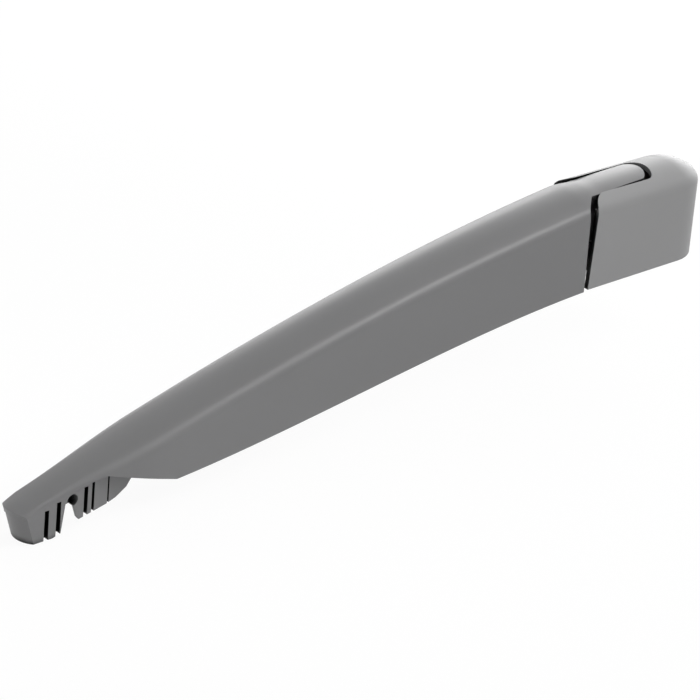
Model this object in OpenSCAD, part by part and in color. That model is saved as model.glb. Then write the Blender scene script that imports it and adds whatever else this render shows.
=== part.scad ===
// Rear window wiper arm: a hollow moulded arm hinged on a cast mounting head,
// with a flip-up head cover, a tension spring under the arm and a blade clip.
// Origin: spindle axis at the lower face of the spindle bush. +Z up, the arm runs to -X.

/* [Arm] */
// Distance from the spindle axis to the arm's shoulder
shoulder_x = 51.5; // [48:0.5:58]
// Length from the shoulder to the tip of the nose
arm_l = 273.5; // [240:0.5:320]
// Width of the arm and of the head
body_w = 28; // [27:0.5:32]
// How much the arm narrows along its length
taper_w = 3.8; // [2:0.2:6]
// Depth of the arm's shoulder below the cover's top
shoulder_drop = 0.1; // [0:0.1:0.6]
// Drop of the top from the shoulder to the nose
tip_drop = 62; // [48:0.5:74]
// Drop of the lower edge from the shoulder to the cut at the blade end
edge_drop = 25.2; // [18:0.2:30]
// Wall of the arm
arm_wall = 2.4; // [1.8:0.1:3]
// Radius along the top edges at the shoulder
edge_r = 5.2; // [4:0.1:6]
// Radius along the top edges at the nose
nose_edge_r = 1.5; // [1.3:0.1:2.2]
// Slope of the crowned top where it meets its edge radius at the shoulder, in degrees
crown_slope = 30; // [20:1:34]
// The same slope at the nose, in degrees
nose_slope = 12; // [6:1:18]
// Thickness of the cross ribs inside the arm
rib_t = 1.8; // [1.2:0.1:2.4]
// Depth of the cross ribs below the skin
rib_h = 5; // [3:0.5:8]
// Number of cross ribs between the spring anchor and the blade clip
rib_count = 5; // [3:1:7]

/* [Tongue] */
// Half width of the tongue at the shoulder
tongue_root_hw = 7.5; // [7.3:0.1:7.8]
// Half width of the tongue at its round tip
tongue_tip_hw = 7; // [6.6:0.1:7.3]
// Distance from the spindle axis to the tip of the tongue
tongue_tip_x = 14.4; // [13:0.2:16]
// How far the tongue's tip rises above the shoulder
tongue_rise = 0.8; // [0.4:0.1:1.2]
// Reach of the round corners between the shoulder and the tongue
tongue_fillet = 5.6; // [4:0.2:6]
// Length of the tongue's blunt round tip
tongue_round = 4.8; // [4:0.2:7]

/* [Blade clip] */
// Width of the nose
nose_w = 14.8; // [14:0.2:18]
// Radius of the nose seen from above
nose_r = 10; // [9:0.2:14]
// Rake of the front face, in degrees
nose_rake = 17; // [8:1:22]
// Depth of the clip below the top at the nose
clip_h = 14; // [13.4:0.2:15]
// Diameter of the blade's cross pin
blade_pin_d = 5; // [4:0.1:5.6]
// Distance from the nose to the cross pin
blade_pin_back = 25.3; // [24:0.1:27]
// Depth of the cross pin below the top
blade_pin_drop = 8; // [7.4:0.1:8.4]
// Width of the snap mouth below the pin
mouth_w = 3.6; // [3.2:0.1:4]
// Width of a core slot between the clip's ribs
slot_w = 2; // [1.4:0.1:2.2]
// Depth of the core slots
slot_depth = 2.2; // [1.6:0.1:2.6]
// Half width of the pocket beside the snap mouth
pocket_hw = 4; // [3:0.1:4.2]
// Half width of the pocket between the lips of the snap mouth
mouth_hw = 5.8; // [5:0.1:6]

/* [Head cover] */
// Height of the cover's crowned top
cover_h = 39.1; // [38:0.1:41]
// How much the cover's roof climbs towards the arm, in degrees
roof_pitch = 1.5; // [0:0.1:4]
// Wall of the cover
cover_wall = 2.2; // [1.6:0.1:2.6]
// Gap between the arm's shoulder and the cover at the top
gap_top = 4.6; // [3.5:0.1:5]
// Gap between the arm's shoulder and the cover at the bottom
gap_bottom = 2; // [1.8:0.1:3]
// Clearance each side of the tongue
notch_clear = 0.4; // [0.2:0.05:0.5]
// Gap at the tongue's tip
notch_tip_gap = 3.2; // [2.4:0.1:3.6]
// Depth of the notch cut under the cover's top
notch_depth = 4.9; // [4.5:0.1:6]
// Length of the cover's cut-back corners beside the tongue
ear_l = 6; // [4:0.2:7]
// Width of the same corners
ear_w = 5.2; // [3:0.2:5.4]
// Outer radius of the bosses that hold the pin ends
boss_r = 4.4; // [3.8:0.1:4.8]

/* [Hinge] */
// Distance from the spindle axis to the hinge axis
hinge_x = 31; // [29:0.5:33]
// Depth of the hinge axis below the cover's top
hinge_drop = 8.1; // [7.5:0.1:10]
// Diameter of the hinge pin
pin_d = 5; // [4:0.1:5.4]
// Length of the hinge pin
pin_l = 22.8; // [21:0.2:23.2]
// Radial clearance of the turning fits
run_clear = 0.05; // [0.02:0.01:0.1]
// Half width of the slot for the spring link
link_slot_hw = 2.4; // [2.2:0.1:2.6]
// Thickness of the mounting head's cheeks
head_cheek_t = 2.3; // [2:0.1:2.5]
// Thickness of the bush flange
flange_t = 0.4; // [0.3:0.05:0.5]
// Side play of the hinge
side_play = 0.1; // [0.05:0.05:0.2]
// Thickness of the arm's hinge cheeks
arm_cheek_t = 2; // [1.6:0.1:2.1]
// Wall of the hinge bushes
bush_wall = 1; // [0.6:0.1:1.2]
// Radius of the cheeks round the hinge
cheek_r = 5.2; // [4.8:0.1:5.4]

/* [Spring] */
// Link pin behind the hinge axis
link_pin_back = 3.5; // [2.5:0.1:4.5]
// Link pin below the hinge axis
link_pin_drop = 10; // [9.5:0.1:11]
// Diameter of the link pin
link_pin_d = 3; // [2.4:0.1:3.4]
// Length of the spring link between its two eyes
link_l = 30; // [28:0.5:36]
// Height of the link's bar
link_bar_h = 3.4; // [2.6:0.1:3.8]
// Width of the spring link
link_w = 4; // [3:0.1:4.2]
// Distance from the hinge axis to the anchor pin
anchor_back = 97; // [88:0.5:110]
// Depth of the anchor pin below the hinge axis
anchor_drop = 17; // [14:0.5:19]
// Diameter of the anchor pin
anchor_pin_d = 4; // [3:0.1:4.6]
// Outer diameter of the spring
spring_d = 9.4; // [8:0.1:10]
// Diameter of the spring wire
wire_d = 1.8; // [1.4:0.1:2]
// Number of spring turns
spring_turns = 24; // [16:1:28]

/* [Mounting head] */
// Gap between the head and the cover's side walls
head_gap = 1.3; // [0.8:0.1:2]
// Height of the hub
hub_h = 13; // [11:0.5:15]
// Height of the low neck between hub and hinge
neck_h = 10; // [8:0.5:11]
// Distance from the spindle axis to the foot's end
foot_x = 44; // [40:0.5:46]
// Outer diameter of the spindle bush
spindle_bush_d = 14; // [12.5:0.5:15]
// Width of the hub's rim outside the bush flange
hub_rim = 2; // [1.5:0.1:3]
// Thickness of the bush flange under the nut
nut_flange_t = 1.5; // [1:0.1:2]
// Diameter of the plain entry bore
entry_d = 10; // [9.6:0.1:10.4]
// Depth of the plain entry bore
entry_h = 4; // [3:0.5:5]
// Diameter of the stud bore above the taper
stud_bore_d = 8.4; // [8.2:0.1:8.6]
// Depth of the serrations in the tapered seat
serration_h = 0.3; // [0.2:0.05:0.4]
// Number of serrations
serrations = 36; // [24:4:48]

/* [Hidden] */
$fn = 64;
eps = 0.01;

half_w = body_w / 2;
shoulder_z = cover_h - shoulder_drop;
hub_d = body_w - 2 * (cover_wall + head_gap);
foot_hw = hub_d / 2;
nut_flange_d = hub_d - 2 * hub_rim;
hinge_z = cover_h - hinge_drop;
hinge = [-hinge_x, hinge_z];
head_cheek_y = link_slot_hw + head_cheek_t;
arm_cheek_y = head_cheek_y + side_play + flange_t;
arm_cheek_out = arm_cheek_y + arm_cheek_t;
link_pin = hinge + [link_pin_back, -link_pin_drop];
anchor = hinge + [-anchor_back, -anchor_drop];
pull = anchor - link_pin;
pull_l = norm(pull);
pull_angle = atan2(pull[1], pull[0]);
link_end = link_pin + pull / pull_l * link_l;

// The arm's shape along its length: t runs from 0 at the shoulder to 1 at the nose
cut_t = 0.74;
rise_t = 0.855;
waist_t = [0.77, 0.95];
root_t = 0.035;
nose_t = 0.967;
clip_set_in = 0.35;
tongue_step = 0.2;
tongue_t = -(shoulder_x - tongue_tip_x) / arm_l;
function x_at(t) = -(shoulder_x + arm_l * t);
function t_at(x) = (-x - shoulder_x) / arm_l;
function ease(a) = let (c = min(max(a, 0), 1)) c * c * (3 - 2 * c);
function mix(a, b, f) = a + (b - a) * f;
function top_mid(t) = t < 0
    ? shoulder_z + tongue_rise * (1 - pow(1 - min(t / tongue_t, 1), 2))
    : shoulder_z - tip_drop * (0.46 * t + 0.73 * t * t - 0.23 * pow(t, 3) + 0.04 * pow(t, 4));
function lower_edge(t) = let (s = max(t, 0) / cut_t)
    -0.5 * (1 - s) - edge_drop * (0.36 * s + 1.6 * s * s - 0.96 * s * s * s);
waist = half_w - taper_w / 2 - nose_w / 2;
function half_at(t) = half_w - taper_w / 2 * max(t, 0)
    - waist * ease((t - waist_t[0]) / (waist_t[1] - waist_t[0]));
function radius_at(t) = mix(edge_r, nose_edge_r, ease((t - 0.78) / 0.17));
function slope_at(t) = mix(crown_slope, nose_slope, ease(t / 0.9));

// A crowned top over upright walls: an edge radius r, then a parabola that meets it at the slope s
function crown_hw(h, r, s) = h - r * (1 - sin(s));
function crown_rise(h, r, s) = crown_hw(h, r, s) * tan(s) / 2;
function crown_z(h, r, s, y) = -crown_rise(h, r, s) * pow(y / crown_hw(h, r, s), 2);
function wall_top(h, r, s) = -crown_rise(h, r, s) - r * cos(s);
function crown_side(h, r, s, arc_n, crown_n) = concat(
    [for (i = [0:arc_n]) let (a = (90 - s) * i / arc_n) [h - r + r * cos(a), wall_top(h, r, s) + r * sin(a)]],
    [for (i = [1:crown_n]) let (y = crown_hw(h, r, s) * (1 - i / crown_n)) [y, crown_z(h, r, s, y)]]
);
function over(side) = concat(side, [for (i = [len(side) - 2:-1:0]) [-side[i][0], side[i][1]]]);
function reversed(line) = [for (i = [len(line) - 1:-1:0]) line[i]];
function lifted(line, z) = [for (p = line) [p[0], p[1] + z]];
function top_at(t, y) = top_mid(t) + crown_z(half_at(t), radius_at(t), slope_at(t), y);

// One closed section of the shell, over the top and back inside
function inner_r(t) = max(radius_at(t) - arm_wall, 0.5);
function outer_over(t) = lifted(over(crown_side(half_at(t), radius_at(t), slope_at(t), 5, 8)), top_mid(t));
function inner_over(t) = lifted(
    over(crown_side(half_at(t) - arm_wall, inner_r(t), slope_at(t), 5, 8)), top_mid(t) - arm_wall);
function mid_side(t) = lifted(
    crown_side(half_at(t) - arm_wall / 2, max(radius_at(t) - arm_wall / 2, 0.3), slope_at(t), 4, 4),
    top_mid(t) - arm_wall / 2);
function skin_edge(t) = min(outer_over(t)[0][1], inner_over(t)[0][1]) - 0.4;
function wall_end(t) = t < cut_t ? lower_edge(t)
    : mix(lower_edge(cut_t), skin_edge(rise_t), min((t - cut_t) / (rise_t - cut_t), 1))
        + (t > rise_t ? skin_edge(t) - skin_edge(rise_t) : 0);
function section(t) = let (h = half_at(t), z = wall_end(t)) [
    for (p = concat(
        [[h, z]], outer_over(t), [[-h, z]],
        [[arm_wall - h, z]], reversed(inner_over(t)), [[h - arm_wall, z]]
    )) [x_at(t), p[0], p[1]]
];

// A solid through a row of like sections
module loft(sections) {
    n = len(sections[0]);
    m = len(sections);
    polyhedron(
        points = [for (s = sections) each s],
        faces = concat(
            [for (i = [0:n / 2 - 2]) each [[n - 1 - i, i + 1, i], [n - 1 - i, n - 2 - i, i + 1]]],
            [for (k = [0:m - 2], i = [0:n - 1]) let (j = (i + 1) % n) [k * n + i, k * n + j, (k + 1) * n + j]],
            [for (k = [0:m - 2], i = [0:n - 1]) let (j = (i + 1) % n) [k * n + i, (k + 1) * n + j, (k + 1) * n + i]],
            [for (i = [0:n / 2 - 2]) let (b = (m - 1) * n)
                each [[b + i, b + i + 1, b + n - 1 - i], [b + i + 1, b + n - 2 - i, b + n - 1 - i]]]
        ),
        convexity = 6
    );
}

// Places a shape drawn in the X-Z plane, y0 to y1
module upright(y0, y1) {
    translate([0, y1, 0]) rotate([90, 0, 0]) linear_extrude(y1 - y0) children();
}
module both_sides() {
    children();
    mirror([0, 1, 0]) children();
}
module cross_bore(at, d, l) {
    translate([at[0], 0, at[1]]) rotate([90, 0, 0]) cylinder(d = d, h = l, center = true);
}

// Arm: rings from the shoulder to the nose, the end ones bent onto the hollowed shoulder and the round raked front
shell_steps = concat(
    [for (i = [0:12]) mix(root_t, cut_t, i / 12)],
    [for (i = [1:5]) mix(cut_t, rise_t, i / 5)],
    [for (i = [1:4]) mix(rise_t, nose_t, i / 4)]
);
nose_x = x_at(1);
function nose_front(y, z) = nose_x + nose_r - sqrt(pow(nose_r, 2) - y * y) + tan(nose_rake) * (top_mid(1) - z);
function nose_ring(f) = [for (p = section(mix(nose_t, 1, f))) [mix(x_at(nose_t), nose_front(p[1], p[2]), f), p[1], p[2]]];
function shoulder_front(y) = x_at(0)
    + tongue_fillet * pow(min((half_w - abs(y)) / (half_w - tongue_root_hw), 1), 1.3);
function shoulder_ring(f) = let (t = root_t * (1 - f)) [
    for (p = section(t)) let (x = mix(x_at(root_t), shoulder_front(p[1]), f))
        [x, p[1], p[2] + top_mid(t_at(x)) - top_mid(t)]
];
module arm_shell() {
    loft(concat(
        [for (i = [3:-1:1]) shoulder_ring(i / 3)],
        [for (t = shell_steps) section(t)],
        [for (i = [1:3]) nose_ring(i / 3)]
    ));
}

function tongue_ring(x, hw) = let (n = 8, t = t_at(x)) concat(
    [for (i = [0:n]) let (y = hw * (1 - 2 * i / n)) [x, y, top_at(t, y) - tongue_step]],
    [for (i = [n:-1:0]) let (y = hw * (1 - 2 * i / n)) [x, y, top_at(t, y) - tongue_step - arm_wall]]
);
module tongue() {
    root = x_at(0) - 3;
    tip = -tongue_tip_x - tongue_round;
    rings = concat(
        [for (a = [80, 70, 56, 42, 28, 14]) tongue_ring(tip + tongue_round * sin(a), tongue_tip_hw * cos(a))],
        [for (i = [0:4]) tongue_ring(mix(tip, root, i / 4), mix(tongue_tip_hw, tongue_root_hw, i / 4))]
    );
    loft(rings);
}

// Side webs: hinge cheeks behind the shoulder, spring webs under the arm's skin
web_end_x = anchor[0] - 8;
function web_top(x) = top_at(t_at(x), arm_cheek_out) - arm_wall / 2;
module web_outline() {
    steps = 6;
    translate(hinge) circle(r = cheek_r);
    polygon(concat(
        [[hinge[0] + cheek_r, hinge_z]],
        [for (i = [0:steps]) let (x = mix(hinge[0] + cheek_r, web_end_x, i / steps)) [x, web_top(x)]],
        [
            [web_end_x, anchor[1] - 2], [anchor[0] + 4, anchor[1] - anchor_pin_d - 1],
            [x_at(0) - 18, hinge_z - 22], [x_at(0), hinge_z - 20], [hinge[0] - 3, hinge_z - 4]
        ]
    ));
}
module across(x, l) {
    translate([x, 0, 0]) rotate([90, 0, 90]) linear_extrude(l) children();
}
module end_wall() {
    y0 = arm_cheek_y + arm_cheek_t / 2;
    side = mid_side(0);
    across(x_at(0) - arm_wall - 0.4, arm_wall) polygon(concat(
        [[y0, 8], [side[0][0], 8]],
        [for (p = side) if (p[0] > y0 + 0.2) p],
        [[y0, top_at(0, y0) - arm_wall / 2]]
    ));
}
module cross_ribs() {
    for (i = [1:rib_count]) {
        x = mix(web_end_x, x_at(cut_t), i / (rib_count + 1));
        side = mid_side(t_at(x));
        low = side[0][1] - rib_h;
        across(x - rib_t / 2, rib_t)
            polygon(concat([[side[0][0], low]], over(side), [[-side[0][0], low]]));
    }
}

// Blade clip: a ribbed block under the nose with a snap-in keyhole for the cross pin
blade_pin = [nose_x + blade_pin_back, top_mid(1 - blade_pin_back / arm_l) - blade_pin_drop];
clip_hw = nose_w / 2 - 0.3;
clip_back = 28.5;
module clip_front() {
    r = nose_r - clip_set_in;
    translate([nose_x + nose_r, 0, top_mid(1)]) rotate([0, -nose_rake, 0]) union() {
        cylinder(r = r, h = 160, center = true, $fn = 96);
        translate([0, -r, -80]) cube([80, 2 * r, 160]);
    }
}
module clip_outline() {
    steps = 8;
    low = top_mid(1) - clip_h;
    polygon(concat(
        [for (i = [0:steps]) let (x = mix(nose_x - 2, blade_pin[0] + clip_back, i / steps), t = t_at(x))
            [x, top_at(t, clip_hw) - arm_wall / 2]],
        [for (p = [[27.7, 1.2], [25.7, -1.7], [23.4, -3.2], [20.7, -4.9], [16, -6.5], [10.9, -7.6], [3.4, -9.2],
            [-4.9, -12.7]]) blade_pin + p],
        [[blade_pin[0] - 8.6, low], [nose_x - 2, low]]
    ));
}
module keyhole_outline() {
    jaw = 0.4;
    translate(blade_pin) {
        circle(d = blade_pin_d);
        polygon([
            [jaw - mouth_w, -0.6], [0, -0.6], [jaw, -1.8], [jaw + 2, -8], [jaw + 3, -9.2], [jaw + 7, -22],
            [-8, -22], [-4.9, -12.7]
        ]);
    }
}
module mouth_pocket() {
    translate([blade_pin[0] - 4.6, -pocket_hw, blade_pin[1] - 30]) cube([18, 2 * pocket_hw, 26.5]);
    translate([blade_pin[0] - 4.6, -mouth_hw, blade_pin[1] - 30]) cube([9.4, 2 * mouth_hw, 27]);
}
// Slots, as [distance from the pin, height of the top below the arm's top, share of the slot width]
clip_slots = [[-11.9, 5.4, 1], [-6.3, 5.1, 1], [6.4, 6.1, 1], [9.6, 3.4, 0.8], [17, 6.6, 0.8]];
module clip_slots_cut() {
    for (s = clip_slots) {
        x = blade_pin[0] + s[0];
        w = slot_w * s[2];
        both_sides() translate([x - w / 2, clip_hw - slot_depth, -100])
            cube([w, half_w, 100 + top_mid(t_at(x)) - s[1]]);
    }
}
module blade_clip() {
    difference() {
        intersection() {
            upright(-clip_hw, clip_hw) clip_outline();
            clip_front();
        }
        clip_slots_cut();
        mouth_pocket();
    }
}

module arm() {
    color("dimgray") difference() {
        union() {
            arm_shell();
            tongue();
            both_sides() upright(arm_cheek_y, arm_cheek_out) web_outline();
            both_sides() end_wall();
            cross_ribs();
            blade_clip();
        }
        upright(-body_w, body_w) keyhole_outline();
        cross_bore(hinge, pin_d + 2 * (run_clear + bush_wall), 2 * arm_cheek_out + 2);
        cross_bore(anchor, anchor_pin_d, 2 * arm_cheek_out + 2);
    }
}

// Head cover: a smooth cap with a round rear end and a notch for the tongue
module cap_side(d) {
    low = -cover_h - 16;
    polygon(concat(
        [[0, low], [half_w - d, low]],
        lifted(crown_side(half_w - d, edge_r - d, crown_slope, 8, 8), -d - pivot_up)
    ));
}
pivot_up = 6;
module cap_form(d, front, low) {
    intersection() {
        translate([0, 0, cover_h + pivot_up]) rotate([0, roof_pitch, 0]) {
            both_sides() rotate([90, 0, -90]) linear_extrude(front + 12) cap_side(d);
            rotate([0, 0, -90]) rotate_extrude(angle = 180, $fn = 96) cap_side(d);
        }
        translate([-front, -body_w, low]) cube([front + 2 * body_w, 2 * body_w, 2 * cover_h]);
    }
}
cover_front_top = shoulder_x - gap_top;
cover_front_low = shoulder_x - gap_bottom;
notch_tip_x = tongue_tip_x - notch_tip_gap;
notch_hw = tongue_root_hw + notch_clear;
module cover_front_cut() {
    upright(-body_w, body_w) polygon([
        [-cover_front_low, 0], [-cover_front_top, cover_h], [-cover_front_top + 0.5, cover_h + 6],
        [-body_w * 3, cover_h + 6], [-body_w * 3, -6], [-cover_front_low - 0.5, -6]
    ]);
}
module cover_notch() {
    mid = -notch_tip_x - tongue_round;
    ear_x = ear_l - cover_front_top;
    ear_y = notch_hw + ear_w;
    translate([0, 0, cover_h - notch_depth]) linear_extrude(20) polygon(concat(
        [[-body_w * 3, -ear_y]],
        [for (a = [0:15:90]) [ear_x - ear_l * pow(cos(a), 1.4), ear_w * pow(sin(a), 1.4) - ear_y]],
        [for (a = [-90:9:90]) [mid + tongue_round * cos(a), notch_hw * sin(a)]],
        [for (a = [90:-15:0]) [ear_x - ear_l * pow(cos(a), 1.4), ear_y - ear_w * pow(sin(a), 1.4)]],
        [[-body_w * 3, ear_y]]
    ));
}
boss_y = arm_cheek_out + 0.5;
module cover_boss() {
    upright(boss_y, half_w) {
        translate(hinge) circle(r = boss_r);
        translate([hinge[0] - boss_r, hinge_z]) square([2 * boss_r, hinge_drop]);
    }
}
seat_rib_l = 2.4;
seat_rib_x = half_w - cover_wall - seat_rib_l;
module cover_seat_rib() {
    translate([seat_rib_x, 2, hub_h + 0.3]) cube([half_w - seat_rib_x, 1.6, cover_h]);
}
module head_cover() {
    color("gray") difference() {
        union() {
            difference() {
                cap_form(0, cover_front_low + 2, 0);
                cap_form(cover_wall, cover_front_low + 3, -1);
                cover_notch();
                cover_front_cut();
            }
            intersection() {
                both_sides() {
                    cover_boss();
                    cover_seat_rib();
                }
                cap_form(cover_wall / 2, cover_front_low - 6, 0);
            }
        }
        cross_bore(hinge, pin_d + 2 * run_clear, pin_l + 0.4);
    }
}

// Mounting head: hub, low neck and two hinge cheeks, cast in one
module head_outline() {
    translate(hinge) circle(r = cheek_r);
    polygon([
        hinge + [-cheek_r, 0], hinge + [-cheek_r, -12], hinge + [-2.5, -link_pin_drop - 9],
        [-hinge_x + 1, 1], [0, 1], [0, neck_h], [-12, neck_h],
        link_pin + [4.4, -1.5], hinge + [cheek_r, -2], hinge + [cheek_r, 0]
    ]);
}
module mounting_head() {
    color("silver") difference() {
        union() {
            cylinder(d = hub_d, h = hub_h);
            upright(-head_cheek_y, head_cheek_y) head_outline();
            translate([-foot_x, -foot_hw, 1]) cube([foot_x, 2 * foot_hw, 3]);
        }
        translate([-60, -link_slot_hw, neck_h - 3]) cube([60 - hub_d / 2 - 1.5, 2 * link_slot_hw, 60]);
        translate([0, 0, -1]) cylinder(d = spindle_bush_d, h = hub_h + 2);
        cross_bore(hinge, pin_d, body_w);
        cross_bore(link_pin, link_pin_d, body_w);
    }
}

// Spindle bush: turned insert with a plain entry, a serrated taper and a stud bore
seat_top = hub_h - 3.5;
seat_taper = (stud_bore_d / 2 + 0.05) / (entry_d / 2 - 0.05 - serration_h);
module spindle_bush() {
    teeth = [for (i = [0:2 * serrations - 1]) let (
        a = 180 * i / serrations,
        r = entry_d / 2 - 0.05 - (i % 2) * serration_h)
        [r * cos(a), r * sin(a)]];
    color("goldenrod") difference() {
        union() {
            cylinder(d = spindle_bush_d, h = hub_h);
            translate([0, 0, hub_h]) cylinder(d = nut_flange_d, h = nut_flange_t);
        }
        translate([0, 0, -1]) cylinder(d = entry_d, h = entry_h + 1);
        translate([0, 0, entry_h - eps])
            linear_extrude(seat_top - entry_h + eps, scale = seat_taper) polygon(teeth);
        translate([0, 0, seat_top - eps]) cylinder(d = stud_bore_d, h = 20);
    }
}

module hinge_pin() {
    color("lightsteelblue") translate([hinge[0], 0, hinge[1]]) rotate([90, 0, 0])
        cylinder(d = pin_d, h = pin_l, center = true);
}

module hinge_bush() {
    translate([hinge[0], -arm_cheek_y, hinge[1]]) rotate([90, 0, 0]) difference() {
        union() {
            cylinder(d = pin_d + 2 * (run_clear + bush_wall), h = arm_cheek_t);
            translate([0, 0, -flange_t]) cylinder(r = cheek_r - 0.6, h = flange_t);
        }
        translate([0, 0, -1]) cylinder(d = pin_d + 2 * run_clear, h = arm_cheek_t + 2);
    }
}
module hinge_bush_near() {
    color("khaki") hinge_bush();
}
module hinge_bush_far() {
    color("khaki") mirror([0, 1, 0]) hinge_bush();
}

// Spring link: a flat bar that dips under the hinge pin, an eye at each end
eye_r = link_pin_d / 2 + 1.7;
link_hole_d = wire_d + 2.6;
module spring_link() {
    color("slategray") translate([link_pin[0], 0, link_pin[1]]) rotate([0, -pull_angle, 0]) difference() {
        upright(-link_w / 2, link_w / 2) {
            circle(r = eye_r);
            translate([link_l, 0]) circle(r = link_hole_d / 2 + 1.4);
            translate([0, -link_bar_h / 2]) square([link_l, link_bar_h]);
        }
        rotate([90, 0, 0]) cylinder(d = link_pin_d + 2 * run_clear, h = 20, center = true);
        translate([link_l, 0, 0]) rotate([90, 0, 0]) cylinder(d = link_hole_d, h = 20, center = true);
    }
}

module link_pin_part() {
    color("lightsteelblue") translate([link_pin[0], 0, link_pin[1]]) rotate([90, 0, 0])
        cylinder(d = link_pin_d, h = 2 * head_cheek_y, center = true);
}

module spring_anchor_pin() {
    color("lightsteelblue") translate([anchor[0], 0, anchor[1]]) rotate([90, 0, 0])
        cylinder(d = anchor_pin_d, h = 2 * arm_cheek_out + 1, center = true);
}

// Tension spring: a close coil along the pull with a hook at each end, swept as one wire
coil_r = (spring_d - wire_d) / 2;
near_hook_r = 2 * wire_d;
far_hook_r = anchor_pin_d / 2 + wire_d / 2 + 0.3;
spring_span = pull_l - link_l;
coil_start = 9.5;
coil_l = spring_span - 2 * coil_start;
coil_steps = 12;
wire_path = concat(
    [for (a = [40:28:320]) [near_hook_r + near_hook_r * cos(a), near_hook_r * sin(a), 0]],
    [[coil_start - 1.5, -0.8, -1.5]],
    [for (i = [0:spring_turns * coil_steps]) let (a = 360 * i / coil_steps)
        [coil_start + coil_l * i / (spring_turns * coil_steps), coil_r * sin(a), -coil_r * cos(a)]],
    [[spring_span - coil_start + 1.7, 1.3, -0.96 * coil_r], [spring_span - coil_start + 4.5, 0.6, -0.86 * coil_r]],
    [for (a = [240:30:480]) [spring_span + far_hook_r * cos(a), 0, far_hook_r * sin(a)]]
);
function unit(v) = v / norm(v);
function tangent(path, i) = unit(path[min(i + 1, len(path) - 1)] - path[max(i - 1, 0)]);
wire_sides = 6;
module swept_wire(path, d) {
    rings = [for (i = [0:len(path) - 1])
        let (
            k = tangent(path, i),
            side = unit(cross(k, abs(k[0]) > 0.9 ? [0, 0, 1] : [1, 0, 0])),
            up = cross(side, k))
        [for (j = [0:wire_sides - 1]) let (a = 360 * j / wire_sides)
            path[i] + d / 2 * (cos(a) * side + sin(a) * up)]];
    loft(rings);
}
module tension_spring() {
    color("dimgray") translate([link_end[0], 0, link_end[1]]) rotate([0, -pull_angle, 0])
        swept_wire(wire_path, wire_d);
}

arm();
head_cover();
mounting_head();
spindle_bush();
hinge_pin();
hinge_bush_near();
hinge_bush_far();
spring_link();
link_pin_part();  // link_pin
tension_spring();
spring_anchor_pin();
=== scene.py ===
import math

import bmesh
import bpy
from mathutils import Matrix, Vector


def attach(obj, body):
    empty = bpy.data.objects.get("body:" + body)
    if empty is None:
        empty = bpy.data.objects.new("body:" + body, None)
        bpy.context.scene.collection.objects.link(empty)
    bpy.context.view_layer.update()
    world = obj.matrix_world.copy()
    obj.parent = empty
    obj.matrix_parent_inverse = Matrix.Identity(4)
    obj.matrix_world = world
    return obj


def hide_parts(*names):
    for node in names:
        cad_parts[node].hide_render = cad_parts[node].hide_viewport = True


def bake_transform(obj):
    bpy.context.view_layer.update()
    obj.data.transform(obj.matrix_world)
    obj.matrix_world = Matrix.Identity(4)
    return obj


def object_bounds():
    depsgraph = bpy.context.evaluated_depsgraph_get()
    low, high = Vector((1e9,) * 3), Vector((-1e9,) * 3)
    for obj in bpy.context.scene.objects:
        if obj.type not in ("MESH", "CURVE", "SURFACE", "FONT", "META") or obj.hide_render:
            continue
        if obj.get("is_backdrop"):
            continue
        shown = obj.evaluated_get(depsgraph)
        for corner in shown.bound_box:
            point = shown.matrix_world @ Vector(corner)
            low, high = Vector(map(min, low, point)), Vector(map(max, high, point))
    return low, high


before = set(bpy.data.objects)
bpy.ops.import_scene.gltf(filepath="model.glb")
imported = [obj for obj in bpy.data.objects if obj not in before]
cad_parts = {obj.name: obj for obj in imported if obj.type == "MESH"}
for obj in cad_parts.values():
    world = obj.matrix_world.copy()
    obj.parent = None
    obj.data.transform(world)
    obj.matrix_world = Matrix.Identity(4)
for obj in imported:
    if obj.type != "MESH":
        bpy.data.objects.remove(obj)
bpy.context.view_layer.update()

MM = 0.001

# Driving sizes, in millimetres: x from the blade end to the spindle, z up; a point here is (x, z)
COVER_H = 39.1
SHOULDER_Z = COVER_H - 0.1
SHOULDER_X = 51.5
ARM_L = 273.5
HALF_W = 14.0
WALL = 2.4
EDGE_R = 5.2
ROOF_SLOPE = 30
HINGE = (-31.0, 31.0)
ANCHOR = (HINGE[0] - 97, HINGE[1] - 17)

# Form of the arm: t runs along it, 0 at the shoulder and 1 at the nose
TAPER = 3.8
TIP_DROP = 62.0
TOP_CURVE = (0.46, 0.73, -0.23, 0.04)
SHOULDER_LOW = 0.5
EDGE_DROP = 25.2
EDGE_CURVE = (0.36, 1.6, -0.96)
CLIP_NARROWING = 4.7
NARROW_FROM = 0.77
NARROW_OVER = 0.18
NOSE_EDGE_R = 1.5
ROUND_FROM = 0.78
ROUND_OVER = 0.17
NOSE_SLOPE = 12
SLOPE_OVER = 0.9
MIN_EDGE_R = 0.5
LIP = 0.4
ROOT_T = 0.035
CUT_T = 0.74
RISE_T = 0.855
NOSE_T = 0.967
NOSE_X = -(SHOULDER_X + ARM_L)
NOSE_R = 10.0
NOSE_RAKE = math.tan(math.radians(17))
FILLET = 5.6
FILLET_POWER = 1.3

# Tongue of the arm, which lies in the notch of the head cover
TONGUE_ROOT = 7.5
TONGUE_TIP = 7.0
TONGUE_TIP_X = 14.4
TONGUE_ROUND = 4.8
TONGUE_ROUND_ANGLES = (9, 18, 27, 36, 45, 54, 63, 71, 78, 83, 87)
TONGUE_STEPS = 14
TONGUE_RISE = 0.8
TONGUE_SINK = 0.2
TONGUE_SINK_RUN = 6
TONGUE_T = -(SHOULDER_X - TONGUE_TIP_X) / ARM_L

# Points of half a section, and sections along the arm
WALL_N = 6
ARC_N = 9
FLANK_N = 5
MIDDLE_N = 9
SIDE_N = WALL_N + ARC_N + FLANK_N + MIDDLE_N
SHOULDER_STEPS = 8
RUN_STEPS = 96
TURN_STEPS = 18
NOSE_STEPS = 8


def mix(a, b, share):
    return a + (b - a) * share


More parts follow.
